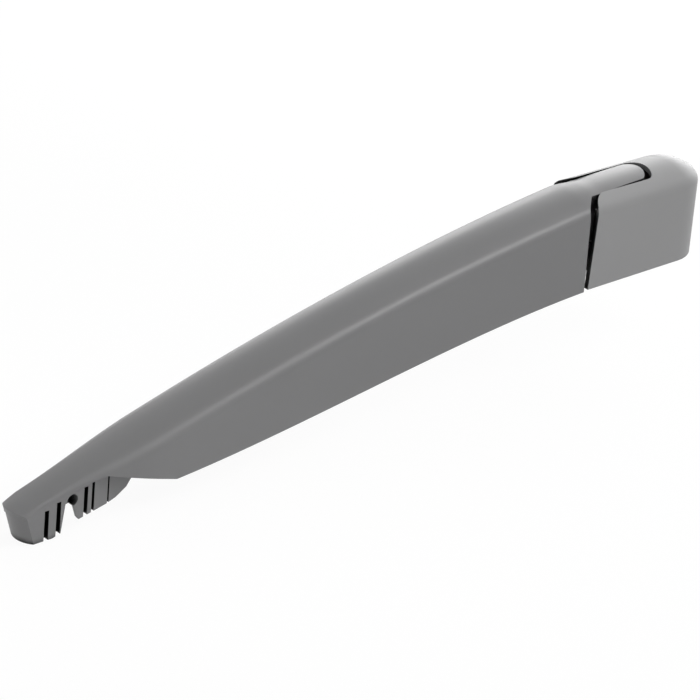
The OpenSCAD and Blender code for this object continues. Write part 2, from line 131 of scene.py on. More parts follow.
def ease(a):
    c = min(max(a, 0), 1)
    return c * c * (3 - 2 * c)


def power_curve(factors, t):
    return sum(factor * t**power for power, factor in enumerate(factors, 1))


def x_at(t):
    return -(SHOULDER_X + ARM_L * t)


def t_at(x):
    return (-x - SHOULDER_X) / ARM_L


def top_mid(t):
    if t < 0:
        return SHOULDER_Z + TONGUE_RISE * (1 - (1 - min(t / TONGUE_T, 1)) ** 2)
    return SHOULDER_Z - TIP_DROP * power_curve(TOP_CURVE, t)


def lower_edge(t):
    s = max(t, 0) / CUT_T
    return -SHOULDER_LOW * (1 - s) - EDGE_DROP * power_curve(EDGE_CURVE, s)


def shape_at(t):
    """Half width, edge radius and roof slope of the section at t."""
    half = HALF_W - TAPER / 2 * max(t, 0) - CLIP_NARROWING * ease((t - NARROW_FROM) / NARROW_OVER)
    radius = mix(EDGE_R, NOSE_EDGE_R, ease((t - ROUND_FROM) / ROUND_OVER))
    return half, radius, math.radians(mix(ROOF_SLOPE, NOSE_SLOPE, ease(t / SLOPE_OVER)))


def inset(shape, depth):
    half, radius, slope = shape
    return half - depth, max(radius - depth, MIN_EDGE_R), slope


def roof_half(shape):
    half, radius, slope = shape
    return half - radius * (1 - math.sin(slope))


def crown(shape, y):
    """Height of the crowned roof at y, from its middle."""
    half = roof_half(shape)
    return -half * math.tan(shape[2]) / 2 * (y / half) ** 2


def wall_top(shape):
    """Height at which the round edge meets the upright wall, from the roof's middle."""
    return -roof_half(shape) * math.tan(shape[2]) / 2 - shape[1] * math.cos(shape[2])


def edge_point(shape, share):
    """Point of the round edge, from the wall at 0 to the roof at 1."""
    half, radius, slope = shape
    a = (math.pi / 2 - slope) * share
    return half - radius + radius * math.cos(a), wall_top(shape) + radius * math.sin(a)


def half_outline(shape, z, edge_steps, roof_steps):
    """Half a section from its wall's top, over the round edge, to the roof's middle at height z."""
    edge = [edge_point(shape, i / edge_steps) for i in range(edge_steps + 1)]
    roof = [roof_half(shape) * (1 - i / roof_steps) for i in range(1, roof_steps + 1)]
    return [(y, z + up) for y, up in edge] + [(y, z + crown(shape, y)) for y in roof]


def top_at(t, y):
    return top_mid(t) + crown(shape_at(t), y)


def skin_edge(t):
    outer = top_mid(t) + wall_top(shape_at(t))
    inner = top_mid(t) - WALL + wall_top(inset(shape_at(t), WALL))
    return min(outer, inner) - LIP


def wall_end(t):
    if t < CUT_T:
        return lower_edge(t)
    z = mix(lower_edge(CUT_T), skin_edge(RISE_T), min((t - CUT_T) / (RISE_T - CUT_T), 1))
    return z + (skin_edge(t) - skin_edge(RISE_T) if t > RISE_T else 0)


def section_point(t, k, inside):
    """Point k of the section at t, counted from the lower edge of the near wall over the top."""
    side = -1 if k <= SIDE_N else 1
    k = min(k, 2 * SIDE_N - k)
    shape = inset(shape_at(t), WALL) if inside else shape_at(t)
    z = top_mid(t) - WALL if inside else top_mid(t)
    if k <= WALL_N:
        return side * shape[0], mix(wall_end(t), z + wall_top(shape), k / WALL_N)
    k -= WALL_N
    if k <= ARC_N:
        y, up = edge_point(shape, k / ARC_N)
        return side * y, z + up
    k -= ARC_N
    root = TONGUE_ROOT / roof_half(shape_at(0))
    share = mix(1, root, k / FLANK_N) if k <= FLANK_N else root * (1 - (k - FLANK_N) / MIDDLE_N)
    y = roof_half(shape) * share
    return side * y, z + crown(shape, y)


def shoulder_front(y):
    return x_at(0) + FILLET * min((HALF_W - abs(y)) / (HALF_W - TONGUE_ROOT), 1) ** FILLET_POWER


def nose_front(radius, y, z):
    """Round, raked front of the nose."""
    return NOSE_X + NOSE_R - math.sqrt(radius * radius - y * y) + NOSE_RAKE * (top_mid(1) - z)


STATIONS = (
    [("shoulder", 1 - i / SHOULDER_STEPS) for i in range(SHOULDER_STEPS)]
    + [("run", mix(ROOT_T, CUT_T, i / RUN_STEPS)) for i in range(RUN_STEPS + 1)]
    + [("run", mix(CUT_T, RISE_T, i / TURN_STEPS)) for i in range(1, TURN_STEPS + 1)]
    + [("run", mix(RISE_T, NOSE_T, i / TURN_STEPS)) for i in range(1, TURN_STEPS + 1)]
    + [("nose", i / NOSE_STEPS) for i in range(1, NOSE_STEPS + 1)]
)


def skin_point(row, k, inside):
    """Point k of the arm's skin in a row of STATIONS."""
    kind, share = STATIONS[row]
    if kind == "run":
        return (x_at(share), *section_point(share, k, inside))
    if kind == "shoulder":
        t = ROOT_T * (1 - share)
        y, z = section_point(t, k, inside)
        x = mix(x_at(ROOT_T), shoulder_front(y), share)
        return x, y, z + top_mid(t_at(x)) - top_mid(t)
    y, z = section_point(mix(NOSE_T, 1, share), k, inside)
    return mix(x_at(NOSE_T), nose_front(NOSE_R, y, z), share), y, z


# Modelling steps that the pieces share
def add_bevel(piece, width, angle=35, segments=2):
    edge = piece.modifiers.new("edge", "BEVEL")
    edge.width = width * MM
    edge.segments = segments
    edge.limit_method = "ANGLE"
    edge.angle_limit = math.radians(angle)
    edge.use_clamp_overlap = True
    edge.harden_normals = True


def shade(mesh, angle):
    mesh.polygons.foreach_set("use_smooth", [True] * len(mesh.polygons))
    mesh.set_sharp_from_angle(angle=math.radians(angle))


def finish_mesh(bm, name, bevel=0.0, angle=35):
    """Turns the faces outwards, scales the mesh to metres and makes it an object with bevelled edges."""
    bmesh.ops.recalc_face_normals(bm, faces=bm.faces[:])
    bmesh.ops.scale(bm, vec=(MM, MM, MM), verts=bm.verts[:])
    mesh = bpy.data.meshes.new(name)
    bm.to_mesh(mesh)
    bm.free()
    shade(mesh, angle)
    piece = bpy.data.objects.new(name, mesh)
    bpy.context.scene.collection.objects.link(piece)
    if bevel:
        add_bevel(piece, bevel, angle)
    return piece


def cut(piece, cutters):
    """Cuts each cutter out of the piece, drops the cutters and cleans the cut mesh."""
    for cutter in cutters:
        mod = piece.modifiers.new("cut", "BOOLEAN")
        mod.operation = "DIFFERENCE"
        mod.solver = "EXACT"
        mod.object = cutter
    bpy.context.view_layer.update()
    mesh = bpy.data.meshes.new_from_object(piece.evaluated_get(bpy.context.evaluated_depsgraph_get()))
    piece.modifiers.clear()
    uncut = piece.data
    piece.data = mesh
    mesh.name = piece.name
    bpy.data.meshes.remove(uncut)
    for cutter in cutters:
        bpy.data.objects.remove(cutter)
    bm = bmesh.new()
    bm.from_mesh(mesh)
    bmesh.ops.remove_doubles(bm, verts=bm.verts[:], dist=0.004 * MM)
    bmesh.ops.dissolve_degenerate(bm, edges=bm.edges[:], dist=0.002 * MM)
    bmesh.ops.recalc_face_normals(bm, faces=bm.faces[:])
    bm.to_mesh(mesh)
    bm.free()
    shade(mesh, 32)


def new_verts(grown):
    return [g for g in grown["geom"] if isinstance(g, bmesh.types.BMVert)]


def draw_edges(bm, edges):
    """Extrudes a line of edges, and returns the vertices and the edges of the new line."""
    grown = bmesh.ops.extrude_edge_only(bm, edges=edges)
    verts = new_verts(grown)
    made = [g for g in grown["geom"] if isinstance(g, bmesh.types.BMEdge)]
    return verts, [e for e in made if all(v in verts for v in e.verts)]


def drawn_plate(bm, outline, place, shift, holes=()):
    """Fills an outline less its holes, set in space by place, and extrudes it by shift."""
    edges = []
    for line in (outline, *holes):
        ring = [bm.verts.new(place(a, b)) for a, b in line]
        edges += [bm.edges.new((ring[i - 1], ring[i])) for i in range(len(ring))]
    filled = bmesh.ops.triangle_fill(bm, use_beauty=True, use_dissolve=False, edges=edges)["geom"]
    faces = [g for g in filled if isinstance(g, bmesh.types.BMFace)]
    bmesh.ops.translate(bm, vec=shift, verts=new_verts(bmesh.ops.extrude_face_region(bm, geom=faces)))


def circle(centre, radius, steps=48, start=0.0, end=360.0):
    """Points of a circle, or of an arc with both its ends."""
    count = steps if end - start == 360 else steps + 1
    angles = [math.radians(start) + math.radians(end - start) * i / steps for i in range(count)]
    return [(centre[0] + radius * math.cos(a), centre[1] + radius * math.sin(a)) for a in angles]


def block(bm, low, high):
    made = bmesh.ops.create_cube(bm, size=1)["verts"]
    bmesh.ops.scale(bm, vec=[b - a for a, b in zip(low, high)], verts=made)
    bmesh.ops.translate(bm, vec=[(a + b) / 2 for a, b in zip(low, high)], verts=made)


# Arm shell
def tongue_rows():
    """Place and half width of each row of the tongue, up to its round tip."""
    root = x_at(0) + FILLET
    tip = -TONGUE_TIP_X - TONGUE_ROUND
    shares = [i / TONGUE_STEPS for i in range(1, TONGUE_STEPS + 1)]
    rows = [(mix(root, tip, share), mix(TONGUE_ROOT, TONGUE_TIP, share)) for share in shares]
    angles = [math.radians(angle) for angle in TONGUE_ROUND_ANGLES]
    return rows + [(tip + TONGUE_ROUND * math.sin(a), TONGUE_TIP * math.cos(a)) for a in angles]


def arm_shell():
    """A sheet laid over the arm, drawn out into the tongue, then given its wall."""
    bm = bmesh.new()
    across = 2 * SIDE_N
    along = len(STATIONS) - 1
    bmesh.ops.create_grid(bm, x_segments=across, y_segments=along, size=1)
    column = bm.verts.layers.int.new("column")
    row = bm.verts.layers.int.new("row")
    for v in bm.verts:
        v[column] = round((v.co.x + 1) / 2 * across)
        v[row] = round((v.co.y + 1) / 2 * along)
        v.co = skin_point(v[row], v[column], False)
    root = [v for v in bm.verts if v[row] == 0 and abs(v[column] - SIDE_N) <= MIDDLE_N]
    front = [e for e in bm.edges if all(v in root for v in e.verts)]
    for x, half in tongue_rows():
        verts, front = draw_edges(bm, front)
        sink = TONGUE_SINK * ease((x - x_at(0) - FILLET) / TONGUE_SINK_RUN)
        for v in verts:
            y = half * ((v[column] - SIDE_N) / MIDDLE_N)
            v.co = (x, y, top_at(t_at(x), y) - sink)
            v[row] = -1
    for v in new_verts(bmesh.ops.extrude_face_region(bm, geom=bm.faces[:])):
        if v[row] < 0:
            v.co.z -= WALL
        else:
            v.co = skin_point(v[row], v[column], True)
    return finish_mesh(bm, "arm_shell", 0.3, 50)


# Parts under the shell, which reach up to the middle of its wall
EMBED = WALL / 2
WEB_Y = 5.2
WEB_T = 2
WEB_END = ANCHOR[0] - 8
CHEEK_R = 5.2
BUSH_SEAT_R = 3.55
END_WALL_GAP = 0.4
END_WALL_Y = 6.2
END_WALL_LOW = 8
RIB_COUNT = 5
RIB_T = 1.8
RIB_DEPTH = 5


def arm_webs():
    """Hinge cheeks at the shoulder, which run on as the webs that hold the spring's anchor pin."""
    bm = bmesh.new()
    along = [mix(HINGE[0] + CHEEK_R, WEB_END, i / 20) for i in range(21)]
    roof = [(x, top_at(t_at(x), WEB_Y + WEB_T) - EMBED) for x in along]
    low = [
        (WEB_END, ANCHOR[1] - 2), (ANCHOR[0] + 4, ANCHOR[1] - 5),
        (x_at(0) - 18, HINGE[1] - 22), (x_at(0), HINGE[1] - 20),
    ]
    outline = roof + low + circle(HINGE, CHEEK_R, 16, -115, 0)
    for side in (-1, 1):
        drawn_plate(bm, outline, lambda a, b: (a, side * WEB_Y, b), (0, side * WEB_T, 0),
                    [circle(HINGE, BUSH_SEAT_R)])
    return finish_mesh(bm, "arm_webs", 0.25)


def wall_middle(t):
    """Half a section through the middle of the shell's wall."""
    return half_outline(inset(shape_at(t), EMBED), top_mid(t) - EMBED, 6, 8)


def end_walls():
    """Walls across the shoulder, between the cheeks and the sides."""
    bm = bmesh.new()
    x = x_at(0) - WALL - END_WALL_GAP
    over = wall_middle(0)
    foot = [(END_WALL_Y, END_WALL_LOW), (over[0][0], END_WALL_LOW)]
    inner_top = (END_WALL_Y, top_at(0, END_WALL_Y) - EMBED)
    outline = foot + [p for p in over if p[0] > END_WALL_Y + 0.2] + [inner_top]
    for side in (-1, 1):
        drawn_plate(bm, outline, lambda a, b: (x, side * a, b), (WALL, 0, 0))
    return finish_mesh(bm, "end_walls", 0.2)


def cross_ribs():
    bm = bmesh.new()
    for i in range(1, RIB_COUNT + 1):
        x = mix(WEB_END, x_at(CUT_T), i / (RIB_COUNT + 1))
        near = wall_middle(t_at(x))
        half, top = near[0]
        low = top - RIB_DEPTH
        far = [(-y, z) for y, z in near[-2::-1]]
        outline = [(half, low)] + near + far + [(-half, low)]
        drawn_plate(bm, outline, lambda a, b: (x - RIB_T / 2, a, b), (RIB_T, 0, 0))
    return finish_mesh(bm, "cross_ribs", 0.2)


# Blade clip: ribbed block under the nose with a keyhole for the blade's cross pin
PIN_INSET = 25.3
PIN = (NOSE_X + PIN_INSET, top_mid(1 - PIN_INSET / ARM_L) - 8)
PIN_R = 2.5
CLIP_HW = 7.1
CLIP_LOW = top_mid(1) - 14
CLIP_FRONT = NOSE_X + 1.5
CLIP_END = PIN[0] + 28.5
CLIP_HEEL = 8.6
CLIP_ROOF_STEPS = 12
CLIP_SLICES = 24
NOSE_SKIN = 0.35
CUT_BELOW = 30
# Lower line from the pin: the tail with its hook down to the keyhole's mouth, then the mouth's far side
CLIP_TAIL = [
    (27.7, 1.2), (25.7, -1.7), (23.4, -3.2), (20.7, -4.9), (16, -6.5), (10.9, -7.6), (3.4, -9.2), (2.4, -8),
]
CLIP_MOUTH = [(-3.2, -0.6), (-4.9, -12.7)]
CLIP_MOUTH_X = 4.6
# Slots: place from the pin, top below the arm's top, half width, depth
CLIP_SLOTS = [
    (-11.9, 5.4, 1, 2.2), (-6.3, 5.1, 1, 2.2),
    (6.4, 6.1, 0.9, 2.2), (9.8, 3.4, 0.6, 2.2), (17, 5, 0.35, 0.7),
]


def clip_body():
    bm = bmesh.new()
    along = [mix(CLIP_FRONT, CLIP_END, i / CLIP_ROOF_STEPS) for i in range(CLIP_ROOF_STEPS + 1)]
    roof = [(x, top_at(t_at(x), CLIP_HW) - EMBED) for x in along]
    keyhole = CLIP_TAIL + circle((0, 0), PIN_R, 40, -76.1, 193.9) + CLIP_MOUTH
    lower = [(PIN[0] + a, PIN[1] + b) for a, b in keyhole]
    lower += [(PIN[0] - CLIP_HEEL, CLIP_LOW), (CLIP_FRONT, CLIP_LOW)]
    drawn_plate(bm, roof + lower, lambda a, b: (a, -CLIP_HW, b), (0, 2 * CLIP_HW, 0))
    for n in range(1, CLIP_SLICES):
        bmesh.ops.bisect_plane(bm, geom=bm.verts[:] + bm.edges[:] + bm.faces[:], dist=0.0001,
                               plane_co=(0, CLIP_HW * (2 * n / CLIP_SLICES - 1), 0), plane_no=(0, 1, 0))
    for v in bm.verts:
        if v.co.x < CLIP_FRONT + 0.5:
            v.co.x = nose_front(NOSE_R - NOSE_SKIN, v.co.y, v.co.z)
    return finish_mesh(bm, "blade_clip")


def slot_tool():
    bm = bmesh.new()
    for at, below, half, depth in CLIP_SLOTS:
        x = PIN[0] + at
        for side in (-1, 1):
            y = sorted((side * (CLIP_HW - depth), side * (CLIP_HW + 5)))
            block(bm, (x - half, y[0], PIN[1] - CUT_BELOW), (x + half, y[1], top_mid(t_at(x)) - below))
    return finish_mesh(bm, "slot_tool")


def clip_tool(name, end, half, top):
    """Room inside the clip, from the keyhole's mouth to end, open below."""
    bm = bmesh.new()
    block(bm, (PIN[0] - CLIP_MOUTH_X, -half, PIN[1] - CUT_BELOW), (PIN[0] + end, half, PIN[1] - top))
    return finish_mesh(bm, name)


def blade_clip():
    piece = clip_body()
    cut(piece, [slot_tool(), clip_tool("pocket_tool", 13.4, 4, 3.5), clip_tool("mouth_tool", 4.8, 5.8, 3)])
    add_bevel(piece, 0.3, 40)
    return piece


# Head cover: a cap with a wall, a notch for the tongue and a front that leaves a wedge-shaped gap
COVER_WALL = 2.2
COVER_FRONT = 60.0
COVER_SKIRT = 16
COVER_TURN_STEPS = 56
COVER_ROWS = 12
COVER_TILT = 1.5
PIVOT_UP = 6.0
NOTCH_DEPTH = 4.9
NOTCH_GAP = 0.4
NOTCH_END_GAP = 3.2
EAR_W = 5.2
EAR_L = 6.0
EAR_POWER = 1.4
GAP_LOW = 2
GAP_TOP = 4.6
BEYOND = 90
BOSS_R = 4.4
BOSS_Y = 7.7
BOSS_T = 5.2
BOSS_TOP = 36.2
STOP_X = (9.4, 12.6)
STOP_Y = (2, 3.6)
STOP_LOW = 13.3
ROOF_UNDER_REAR = 35.4
ROOF_UNDER_EDGE = 32.8


def cap_profile(depth):
    """Half a section of the cap from its middle below, up the wall and to the roof's middle."""
    shape = inset((HALF_W, EDGE_R, math.radians(ROOF_SLOPE)), depth)
    foot = -COVER_H - COVER_SKIRT
    wall = [(0, foot), (shape[0], foot), (shape[0], -COVER_H / 2)]
    return wall + half_outline(shape, -depth - PIVOT_UP, 10, 12)


def cap_solid(depth, name):
    """The profile spun round the rear end, its ends drawn forward and closed, then tilted."""
    bm = bmesh.new()
    line = [bm.verts.new((0, -y, z)) for y, z in cap_profile(depth)]
    near = [bm.edges.new((line[i - 1], line[i])) for i in range(1, len(line))]
    spun = bmesh.ops.spin(bm, geom=line + near, cent=(0, 0, 0), axis=(0, 0, 1), angle=math.pi,
                          steps=COVER_TURN_STEPS, use_duplicate=False)["geom_last"]
    far = [g for g in spun if isinstance(g, bmesh.types.BMEdge)]
    for front in (near, far):
        for _ in range(COVER_ROWS):
            verts, front = draw_edges(bm, front)
            bmesh.ops.translate(bm, vec=(-COVER_FRONT / COVER_ROWS, 0, 0), verts=verts)
    bmesh.ops.remove_doubles(bm, verts=bm.verts[:], dist=0.01)
    rim = [e for e in bm.edges if e.is_boundary and all(v.co.x < 1 - COVER_FRONT for v in e.verts)]
    bmesh.ops.holes_fill(bm, edges=rim, sides=0)
    tilt = Matrix.Translation((0, 0, COVER_H + PIVOT_UP)) @ Matrix.Rotation(math.radians(COVER_TILT), 4, "Y")
    bmesh.ops.transform(bm, matrix=tilt, verts=bm.verts[:])
    return finish_mesh(bm, name)


def notch_tool():
    """The tongue's outline with clearance, widened at the front by a round ear on each side."""
    bm = bmesh.new()
    half = TONGUE_ROOT + NOTCH_GAP
    mid = -(TONGUE_TIP_X - NOTCH_END_GAP) - TONGUE_ROUND
    ear_x = EAR_L - (SHOULDER_X - GAP_TOP)
    ear_y = half + EAR_W
    near = [(ear_x - EAR_L * math.cos(a) ** EAR_POWER, EAR_W * math.sin(a) ** EAR_POWER - ear_y)
            for a in [math.radians(9 * i) for i in range(11)]]
    tip = [(mid + TONGUE_ROUND * math.cos(a), half * math.sin(a))
           for a in [math.radians(-90 + 6 * i) for i in range(31)]]
    outline = [(-BEYOND, -ear_y)] + near + tip + [(x, -y) for x, y in near[::-1]] + [(-BEYOND, ear_y)]
    drawn_plate(bm, outline, lambda a, b: (a, b, COVER_H - NOTCH_DEPTH), (0, 0, 20))
    return finish_mesh(bm, "notch_tool")


def front_tool():
    """Everything before the cover's front, which leans so that the gap to the arm is a wedge."""
    bm = bmesh.new()
    low = GAP_LOW - SHOULDER_X
    top = GAP_TOP - SHOULDER_X
    outline = [
        (low, 0), (top, COVER_H), (top + 0.5, COVER_H + 8),
        (-BEYOND, COVER_H + 8), (-BEYOND, -70), (low - 0.5, -70),
    ]
    drawn_plate(bm, outline, lambda a, b: (a, -30, b), (0, 60, 0))
    return finish_mesh(bm, "front_tool")


def floor_tool():
    """Everything below the cover's lower edge."""
    bm = bmesh.new()
    block(bm, (-100, -40, -80), (60, 40, 0))
    return finish_mesh(bm, "floor_tool")


def head_cover_shell():
    cover = cap_solid(0, "head_cover_shell")
    cut(cover, [cap_solid(COVER_WALL, "inner_tool"), notch_tool(), front_tool(), floor_tool()])
    add_bevel(cover, 0.5, 40, 3)
    return cover


def cover_bosses():
    """Hinge bosses and rear stops under the cover's roof, their tops let into it."""
    bm = bmesh.new()
    upper = [(HINGE[0] + BOSS_R, BOSS_TOP), (HINGE[0] - BOSS_R, BOSS_TOP)]
    for side in (-1, 1):
        drawn_plate(bm, circle(HINGE, BOSS_R, 24, 180, 360) + upper,
                    lambda a, b: (a, side * BOSS_Y, b), (0, side * BOSS_T, 0))
    block(bm, (STOP_X[0], STOP_Y[0], STOP_LOW), (STOP_X[1], STOP_Y[1], BOSS_TOP))
    block(bm, (STOP_X[0], -STOP_Y[1], STOP_LOW), (STOP_X[1], -STOP_Y[0], BOSS_TOP))
    for v in [v for v in bm.verts if v.co.z > BOSS_TOP - 1]:
        if abs(v.co.y) > BOSS_Y + BOSS_T - 1 or v.co.x > STOP_X[1] - 1:
            v.co.z = ROOF_UNDER_EDGE
        elif v.co.x > 0:
            v.co.z = ROOF_UNDER_REAR
    return finish_mesh(bm, "cover_bosses", 0.2)


# Tension spring: a round wire wound close, a hook at each end
LINK_PIN = Vector((HINGE[0] + 3.5, 0, HINGE[1] - 10))
ANCHOR_PIN = Vector((ANCHOR[0], 0, ANCHOR[1]))
SPRING_PULL = ANCHOR_PIN - LINK_PIN
LINK_REACH = 30
WIRE_R = 0.9
COIL_R = 3.8
COIL_TURNS = 24
COIL_STEPS = 20
COIL_INSET = 9.5
NEAR_HOOK_R = 3.6
FAR_HOOK_R = 3.2


def spring_path():
    """Middle line of the wire along x, from the hook in the link to the hook round the anchor pin."""
    span = SPRING_PULL.length - LINK_REACH
    coil_l = span - 2 * COIL_INSET
    near_hook = [Vector((NEAR_HOOK_R + NEAR_HOOK_R * math.cos(a), NEAR_HOOK_R * math.sin(a), 0))
                 for a in [math.radians(40 + 14 * i) for i in range(21)]]
    into_coil = [Vector((COIL_INSET - 2.6, -1.5, -0.6)), Vector((COIL_INSET - 1.3, -0.9, -2.2))]
    steps = COIL_TURNS * COIL_STEPS
    turns = [(i / steps, 2 * math.pi * i / COIL_STEPS) for i in range(steps + 1)]
    coil = [Vector((COIL_INSET + coil_l * share, COIL_R * math.sin(a), -COIL_R * math.cos(a)))
            for share, a in turns]
    coil_end = span - COIL_INSET
    out_of_coil = [Vector((coil_end + 1.7, 1.3, -3.65)), Vector((coil_end + 4.5, 0.6, -3.27))]
    far_hook = [Vector((span + FAR_HOOK_R * math.cos(a), 0, FAR_HOOK_R * math.sin(a)))
                for a in [math.radians(240 + 15 * i) for i in range(17)]]
    return near_hook + into_coil + coil + out_of_coil + far_hook


def swept_wire(bm, path):
    """Carries a circle along a path, turned as little as the path allows, and closes both ends."""
    ring = bmesh.ops.create_circle(bm, cap_ends=False, segments=10, radius=WIRE_R)["verts"]
    first = ring
    shape = [v.co.copy() for v in ring]
    edges = list({e for v in ring for e in v.link_edges})
    side = Vector((0, 0, 1))
    for i, point in enumerate(path):
        along = (path[min(i + 1, len(path) - 1)] - path[max(i - 1, 0)]).normalized()
        side = (side - along * side.dot(along)).normalized()
        up = along.cross(side)
        if i:
            new, edges = draw_edges(bm, edges)
            ring = [next(e.other_vert(v) for e in v.link_edges if e.other_vert(v) in new) for v in ring]
        for v, c in zip(ring, shape):
            v.co = point + side * c.x + up * c.y
    bmesh.ops.contextual_create(bm, geom=first)
    bmesh.ops.contextual_create(bm, geom=ring)


def spring_wire():
    """The spring in its place, with the two points between which it stretches."""
    bm = bmesh.new()
    swept_wire(bm, spring_path())
    start = LINK_PIN + SPRING_PULL.normalized() * LINK_REACH
    lean = Matrix.Rotation(math.atan2(-SPRING_PULL.z, SPRING_PULL.x), 4, "Y")
    bmesh.ops.transform(bm, matrix=Matrix.Translation(start) @ lean, verts=bm.verts[:])
    return finish_mesh(bm, "spring_wire", 0, 60), start * MM, ANCHOR_PIN * MM


# Materials
def node(tree, kind, place, sockets=None, **settings):
    """Adds a node with its settings, and gives its sockets a value or a link from another socket."""
    made = tree.nodes.new(kind)
    made.location = place
    for name, value in settings.items():
        setattr(made, name, value)
    for key, value in (sockets or {}).items():
        if isinstance(value, bpy.types.NodeSocket):
            tree.links.new(value, made.inputs[key])
        else:
            made.inputs[key].default_value = value
    return made


def surface_group():
    """Moulded or tooled surface: colour, roughness and grain that vary, and painted shade in hollows, where
    ambient occlusion darkens the colour and blackens the reflection.
    """
    tree = bpy.data.node_groups.new("surface_grain_and_painted_shade", "ShaderNodeTree")
    for name, kind, value in (
        ("Colour", "NodeSocketColor", (0.2, 0.2, 0.2, 1)),
        ("Tint", "NodeSocketFloat", 0.06),
        ("Roughness", "NodeSocketFloat", 0.4),
        ("Roughness Spread", "NodeSocketFloat", 0.06),
        ("Grain Size", "NodeSocketFloat", 2200.0),
        ("Grain Depth", "NodeSocketFloat", 0.00001),
        ("Hollow Reach", "NodeSocketFloat", 0.006),
    ):
        tree.interface.new_socket(name=name, in_out="INPUT", socket_type=kind).default_value = value
    for name, kind in (
        ("Colour", "NodeSocketColor"), ("Roughness", "NodeSocketFloat"),
        ("Metallic", "NodeSocketFloat"), ("Normal", "NodeSocketVector"),
    ):
        tree.interface.new_socket(name=name, in_out="OUTPUT", socket_type=kind)
    given = tree.nodes.new("NodeGroupInput").outputs
    where = node(tree, "ShaderNodeTexCoord", (-900, 0)).outputs["Object"]

    cloud = node(tree, "ShaderNodeTexNoise", (-700, 200), {"Vector": where, "Scale": 38.0, "Detail": 3.0})
    spread = node(tree, "ShaderNodeMath", (-480, 200), {0: cloud.outputs["Fac"], 1: 0.5},
                  operation="SUBTRACT")
    factor = node(tree, "ShaderNodeMath", (-320, 200), {0: spread.outputs[0], 1: given["Tint"], 2: 1.0},
                  operation="MULTIPLY_ADD")
    tinted = node(tree, "ShaderNodeVectorMath", (0, 200), {0: given["Colour"], "Scale": factor.outputs[0]},
                  operation="SCALE")

    # Painted shade: ambient occlusion darkens the colour in hollows, and Metallic rises there so that the
    # near-black colour blackens their reflections too.
    hollow = node(tree, "ShaderNodeAmbientOcclusion", (0, 420), {"Distance": given["Hollow Reach"]},
                  samples=8)
    light = node(tree, "ShaderNodeMapRange", (160, 420), {
        "Value": hollow.outputs["AO"], "From Min": 0.42, "From Max": 0.72, "To Min": 0.01, "To Max": 1.0,
    }, interpolation_type="SMOOTHSTEP").outputs["Result"]
    painted_shade_colour = node(tree, "ShaderNodeVectorMath", (320, 300), {0: tinted.outputs[0], "Scale": light},
                  operation="SCALE")
    painted_shade_metallic = node(tree, "ShaderNodeMath", (320, 450), {0: 1.0, 1: light}, operation="SUBTRACT")

    smudge = node(tree, "ShaderNodeTexNoise", (-700, -50), {"Vector": where, "Scale": 140.0, "Detail": 4.0})
    rough = node(tree, "ShaderNodeMath", (-480, -50), {0: smudge.outputs["Fac"], 1: 0.5},
                 operation="SUBTRACT")
    rough_by = node(tree, "ShaderNodeMath", (-320, -50), {
        0: rough.outputs[0], 1: given["Roughness Spread"], 2: given["Roughness"],
    }, operation="MULTIPLY_ADD")

    grain = node(tree, "ShaderNodeTexNoise", (-700, -300), {
        "Vector": where, "Scale": given["Grain Size"], "Detail": 2.0,
    })
    bump = node(tree, "ShaderNodeBump", (-160, -300), {
        "Strength": 0.6, "Height": grain.outputs["Fac"], "Distance": given["Grain Depth"],
    })
    node(tree, "NodeGroupOutput", (520, 0), {
        "Colour": painted_shade_colour.outputs[0], "Roughness": rough_by.outputs[0],
        "Metallic": painted_shade_metallic.outputs[0], "Normal": bump.outputs["Normal"],
    })
    return tree


GRAIN_AND_PAINTED_SHADE = surface_group()


def empty_tree(owner):
    owner.use_nodes = True
    owner.node_tree.nodes.clear()
    return owner.node_tree


def surface(name, colour, roughness, metallic=0.0, tint=0.06, spread=0.06, size=2200.0, depth=0.00001,
            shade_reach=0.006):
    """A material with the group's surface, painted shade in hollows included; a metal has its own value for
    Metallic.
    """
    made = bpy.data.materials.new(name)
    tree = empty_tree(made)
    grain = node(tree, "ShaderNodeGroup", (-200, 0), node_tree=GRAIN_AND_PAINTED_SHADE)
    for key, value in (
        ("Colour", (*colour, 1)), ("Tint", tint), ("Roughness", roughness), ("Roughness Spread", spread),
        ("Grain Size", size), ("Grain Depth", depth), ("Hollow Reach", shade_reach),
    ):
        grain.inputs[key].default_value = value
    # The group's colour and Metallic carry the painted shade in hollows.
    shader = node(tree, "ShaderNodeBsdfPrincipled", (100, 0), {
        "Base Color": grain.outputs["Colour"], "Roughness": grain.outputs["Roughness"],
        "Metallic": metallic or grain.outputs["Metallic"], "Normal": grain.outputs["Normal"],
    })
    node(tree, "ShaderNodeOutputMaterial", (400, 0), {"Surface": shader.outputs[0]})
    return made


MATERIALS = {
    "arm_plastic": surface("arm_plastic", (0.144, 0.144, 0.146), 0.42),
    # The cover's painted shade in hollows reaches further than the arm's.
    "cover_plastic": surface("cover_plastic", (0.222, 0.222, 0.224), 0.56, shade_reach=0.014),
    "head_cast": surface("head_cast", (0.60, 0.61, 0.62), 0.5, metallic=1.0, tint=0.1, spread=0.15,
                         size=900.0, depth=0.00005),
    "bush_brass": surface("bush_brass", (0.78, 0.60, 0.30), 0.3, metallic=1.0, tint=0.08, spread=0.1,
                          size=1500.0),
    "pin_steel": surface("pin_steel", (0.66, 0.66, 0.67), 0.28, metallic=1.0, tint=0.05, spread=0.1,
                         size=3000.0, depth=0.000006),
    "hinge_bush": surface("hinge_bush", (0.66, 0.62, 0.50), 0.5, spread=0.08, size=1800.0),
    "link_steel": surface("link_steel", (0.30, 0.30, 0.30), 0.42, metallic=0.8, tint=0.12, spread=0.15,
                          size=1200.0),
    "spring_steel": surface("spring_steel", (0.05, 0.05, 0.052), 0.35, metallic=0.2, tint=0.1, spread=0.12,
                            size=1600.0),
}
